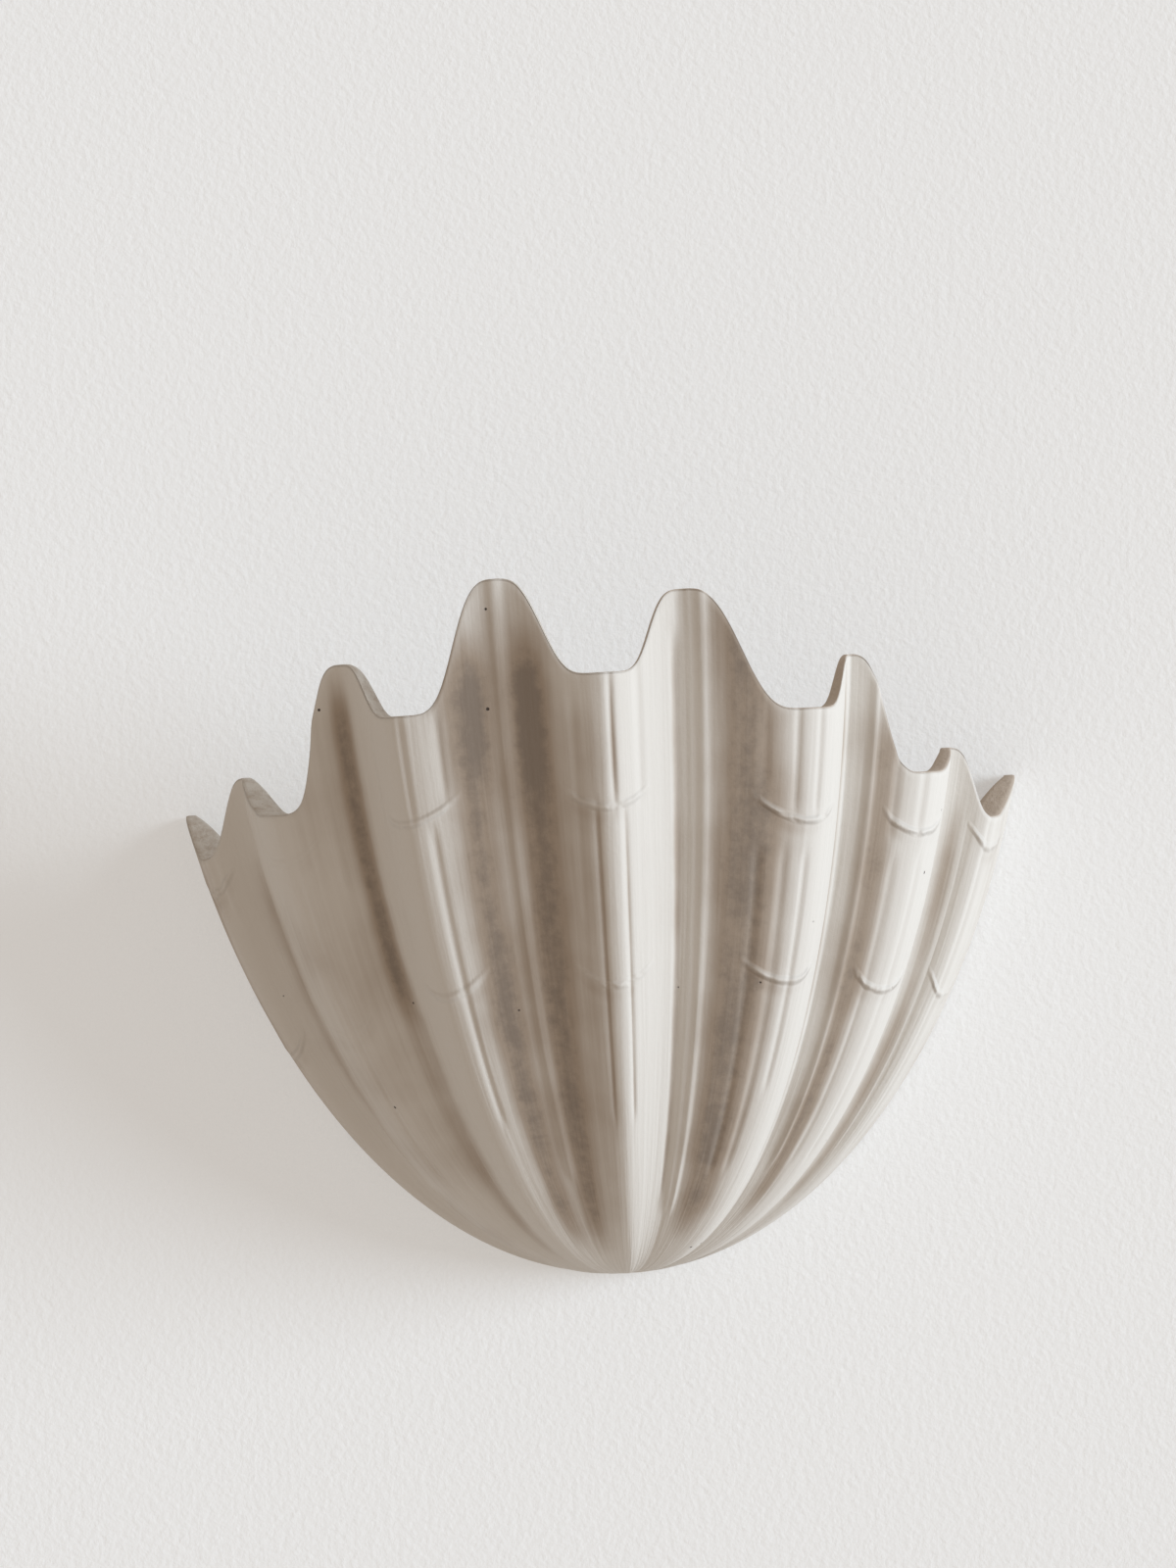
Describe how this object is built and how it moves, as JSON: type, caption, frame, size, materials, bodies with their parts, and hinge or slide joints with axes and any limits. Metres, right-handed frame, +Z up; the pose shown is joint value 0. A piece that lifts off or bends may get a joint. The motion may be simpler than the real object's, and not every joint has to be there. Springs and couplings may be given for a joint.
{
  "type": "wall sconce",
  "caption": "Fluted half-bowl wall uplighter in cast plaster, open at the top, hung by a steel bar on a hooked wall plate with an upright screw-cap lamp inside",
  "frame": {"origin": "on the wall plane, in the middle of the wall plate's four fixing holes", "axes": "+Z is up, +Y goes into the wall, and the light stands out towards -Y; +X is to the right as seen from the room"},
  "size_m": [0.422, 0.2004, 0.344],
  "materials": {
    "plaster": "matte cast plaster with a grey-brown wash in the grooves",
    "brass": "bright",
    "zinc_steel": "zinc plated",
    "felt": "grey felt",
    "white_steel": "white powder coat",
    "black_rubber": "black",
    "clear_nylon": "milky",
    "tinned_brass": "tinned",
    "white_ceramic": "plain white ceramic",
    "white_plastic": "white",
    "black_plastic": "black",
    "nickel_brass": "nickel plated",
    "frosted_plastic": "frosted",
    "brown_wire": "brown sheath",
    "blue_wire": "blue sheath",
    "green_wire": "green and yellow sheath",
    "nylon": "white"
  },
  "bodies": {
    "wall_side": {"wall_plate": "white_steel", "cable_grommet": "black_rubber", "terminal_block": "clear_nylon", "terminal_barrels": "brass", "terminal_screws": "zinc_steel", "block_screw": "zinc_steel", "earth_stud": "brass", "earth_washer": "zinc_steel", "earth_tag": "tinned_brass", "earth_nut": "brass", "lamp_arm": "zinc_steel", "arm_screws": "zinc_steel", "nipple": "zinc_steel", "nipple_washer": "zinc_steel", "nipple_nut": "zinc_steel", "holder_body": "white_ceramic", "holder_terminals": "brass", "holder_sleeve": "brass", "holder_contact": "brass", "shade_ring": "white_plastic", "wire_live": "brown_wire", "wire_neutral": "blue_wire", "wire_earth": "green_wire", "wire_clip": "nylon"},
    "shell_side": {"shell": "plaster", "lug_inserts": "brass", "hanging_bar": "zinc_steel", "bar_washers": "zinc_steel", "bar_screws": "zinc_steel", "wall_pads": "felt"},
    "bulb": {"bulb_contact": "brass", "bulb_insulator": "black_plastic", "bulb_cap": "nickel_brass", "bulb_body": "white_plastic", "bulb_globe": "frosted_plastic"}
  },
  "joints": [
    {"name": "shell_lift", "type": "slide", "parent": "wall_side", "child": "shell_side", "axis": [0, 0, 1], "range_m": [0, 0.012]},
    {"name": "bulb_unscrew", "type": "slide", "parent": "wall_side", "child": "bulb", "axis": [0, 0, 1], "range_m": [0, 0.03]}
  ]
}
